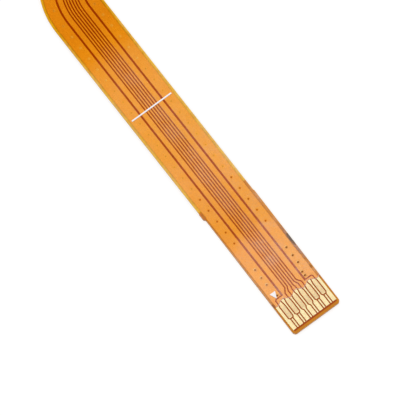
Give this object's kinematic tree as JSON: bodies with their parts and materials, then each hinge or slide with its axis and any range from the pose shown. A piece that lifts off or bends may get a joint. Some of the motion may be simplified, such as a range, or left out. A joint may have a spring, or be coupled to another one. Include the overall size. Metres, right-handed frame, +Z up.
{
  "type": "flat flex cable",
  "caption": "Flat flexible printed cable with a bend, and a stiffened tail of staggered gold contacts at each end for insertion connectors.",
  "frame": {"origin": "middle of the near tail's insertion edge, on the plane of the stiffeners' backs, which the cable lies on", "axes": "+Y from the near insertion edge up the first leg, +X to the right of it, +Z up, contacts up"},
  "size_m": [0.0189, 0.0472, 0.0003],
  "materials": {
    "top_coverlay": "amber polyimide film, see-through, soft gloss",
    "bottom_coverlay": "amber polyimide film, see-through, soft gloss",
    "amber_film": "amber polyimide film, see-through",
    "copper": "rolled copper foil",
    "back_copper": "rolled copper foil, brown on the side bonded to the film",
    "gold_plating": "soft satin gold over nickel",
    "stiffener_film": "thick amber polyimide, satin",
    "bonding_adhesive": "cured bonding film",
    "white_print": "matt white legend ink"
  },
  "bodies": {
    "root": {"back_ground_plane": "back_copper", "base_film": "amber_film", "bottom_coverlay": "bottom_coverlay", "contact_one_mark": "white_print", "far_contact_01": "gold_plating", "far_contact_02": "gold_plating", "far_contact_03": "gold_plating", "far_contact_04": "gold_plating", "far_contact_05": "gold_plating", "far_contact_06": "gold_plating", "far_contact_07": "gold_plating", "far_contact_08": "gold_plating", "far_contact_09": "gold_plating", "far_contact_10": "gold_plating", "far_contact_11": "gold_plating", "far_contact_12": "gold_plating", "far_contact_13": "gold_plating", "far_stiffener": "stiffener_film", "far_stiffener_adhesive": "bonding_adhesive", "far_stub_plating": "gold_plating", "far_stub_strips": "copper", "fold_line_print": "white_print", "ground_conductor_left": "copper", "ground_conductor_right": "copper", "near_contact_01": "gold_plating", "near_contact_02": "gold_plating", "near_contact_03": "gold_plating", "near_contact_04": "gold_plating", "near_contact_05": "gold_plating", "near_contact_06": "gold_plating", "near_contact_07": "gold_plating", "near_contact_08": "gold_plating", "near_contact_09": "gold_plating", "near_contact_10": "gold_plating", "near_contact_11": "gold_plating", "near_contact_12": "gold_plating", "near_contact_13": "gold_plating", "near_stiffener": "stiffener_film", "near_stiffener_adhesive": "bonding_adhesive", "near_stub_plating": "gold_plating", "near_stub_strips": "copper", "signal_conductor_1": "copper", "signal_conductor_2": "copper", "signal_conductor_3": "copper", "signal_conductor_4": "copper", "signal_conductor_5": "copper", "supply_conductor_left": "copper", "supply_conductor_right": "copper", "top_coverlay": "top_coverlay"}
  },
  "joints": []
}
